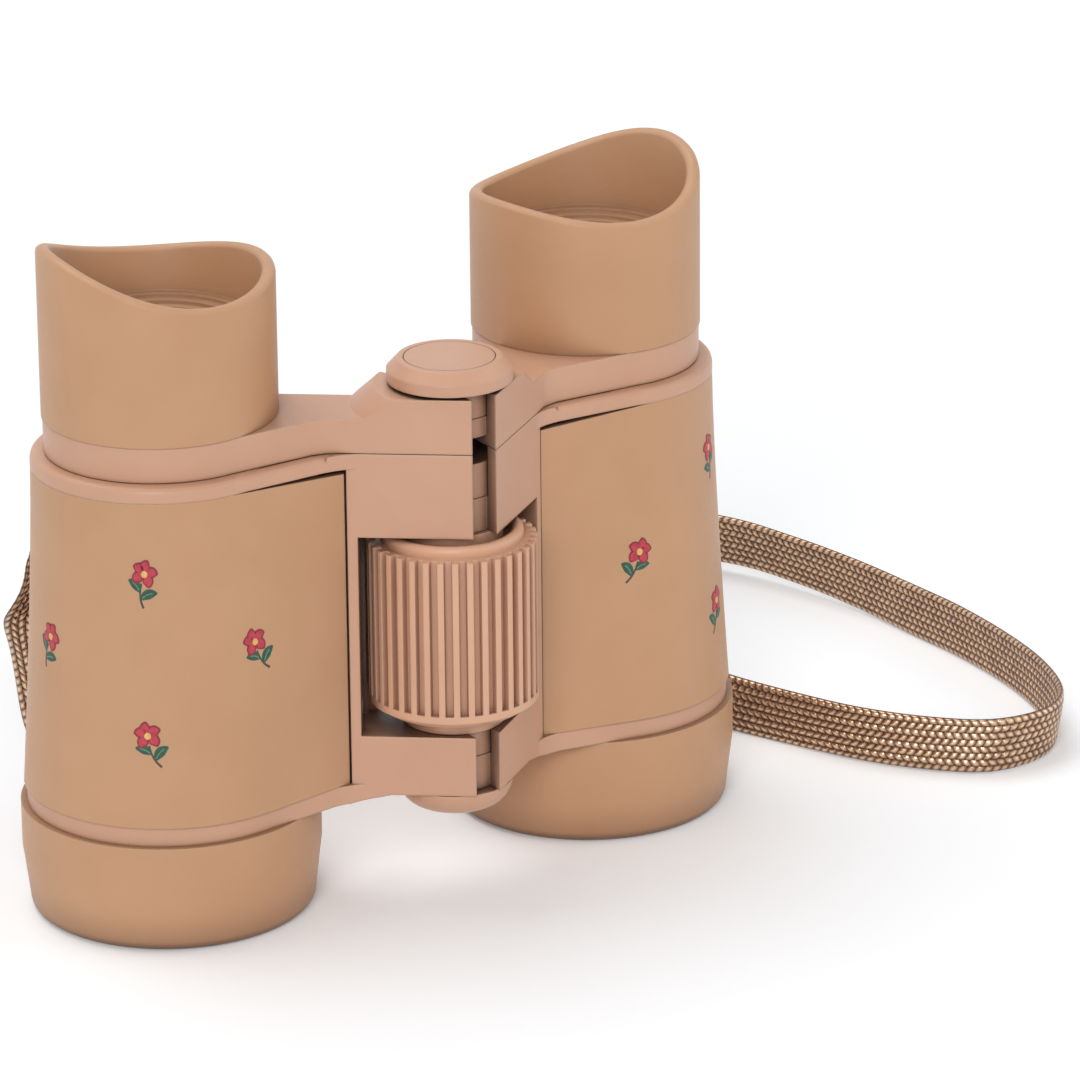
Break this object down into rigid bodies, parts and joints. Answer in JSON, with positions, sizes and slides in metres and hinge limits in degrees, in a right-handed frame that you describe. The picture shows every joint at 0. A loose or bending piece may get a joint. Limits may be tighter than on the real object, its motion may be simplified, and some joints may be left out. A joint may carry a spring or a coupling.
{
  "type": "toy binoculars",
  "caption": "Folding child's binoculars with winged eyecups, flared grip panels, a ribbed centre focus wheel on the hinge and a flat braided neck strap.",
  "frame": {"origin": "on the standing surface, midway between the two optical axes", "axes": "+Z along the optical axes towards the eyecups; +X from the left barrel to the right one; the hinge and focus wheel are on the -Y side"},
  "size_m": [0.1598, 0.1183, 0.0926],
  "materials": {
    "grip": "matt, finely textured",
    "shell": "satin moulded",
    "lens": "polished",
    "retainer": "matt black",
    "shaft": "turned",
    "strap": "braided, silky"
  },
  "bodies": {
    "left_half": {"left_body": "shell", "left_panel": "grip", "left_ring": "grip", "left_lens": "lens", "left_retainer": "retainer", "bottom_cap": "shell", "strap": "strap"},
    "right_half": {"right_body": "shell", "right_panel": "grip", "right_ring": "grip", "right_lens": "lens", "right_retainer": "retainer"},
    "focus_knob": {"focus_wheel": "shell"},
    "left_eyepiece": {"left_arm": "shell", "left_cup": "grip", "left_ocular": "lens", "left_ocular_ring": "retainer", "focus_shaft": "shaft", "top_cap": "shell", "cap_disc": "shell"},
    "right_eyepiece": {"right_arm": "shell", "right_cup": "grip", "right_ocular": "lens", "right_ocular_ring": "retainer"}
  },
  "joints": [
    {"name": "fold", "type": "hinge", "parent": "left_half", "child": "right_half", "pos_m": [0, -0.0184, 0], "axis": [0, 0, 1], "range_deg": [-22, 40], "deforming": ["strap"]},
    {"name": "focus_turn", "type": "hinge", "parent": "left_half", "child": "focus_knob", "pos_m": [0, -0.0184, 0], "axis": [0, 0, 1], "range_deg": [0, 450]},
    {"name": "left_focus_slide", "type": "slide", "parent": "left_half", "child": "left_eyepiece", "axis": [0, 0, 1], "range_m": [0, 0.005]},
    {"name": "right_focus_slide", "type": "slide", "parent": "right_half", "child": "right_eyepiece", "axis": [0, 0, 1], "range_m": [0, 0.005]}
  ],
  "couplings": [
    {"joint": "focus_turn", "follows": "left_focus_slide", "rad_per_m": 1570.8},
    {"joint": "right_focus_slide", "follows": "left_focus_slide", "ratio": 1}
  ]
}
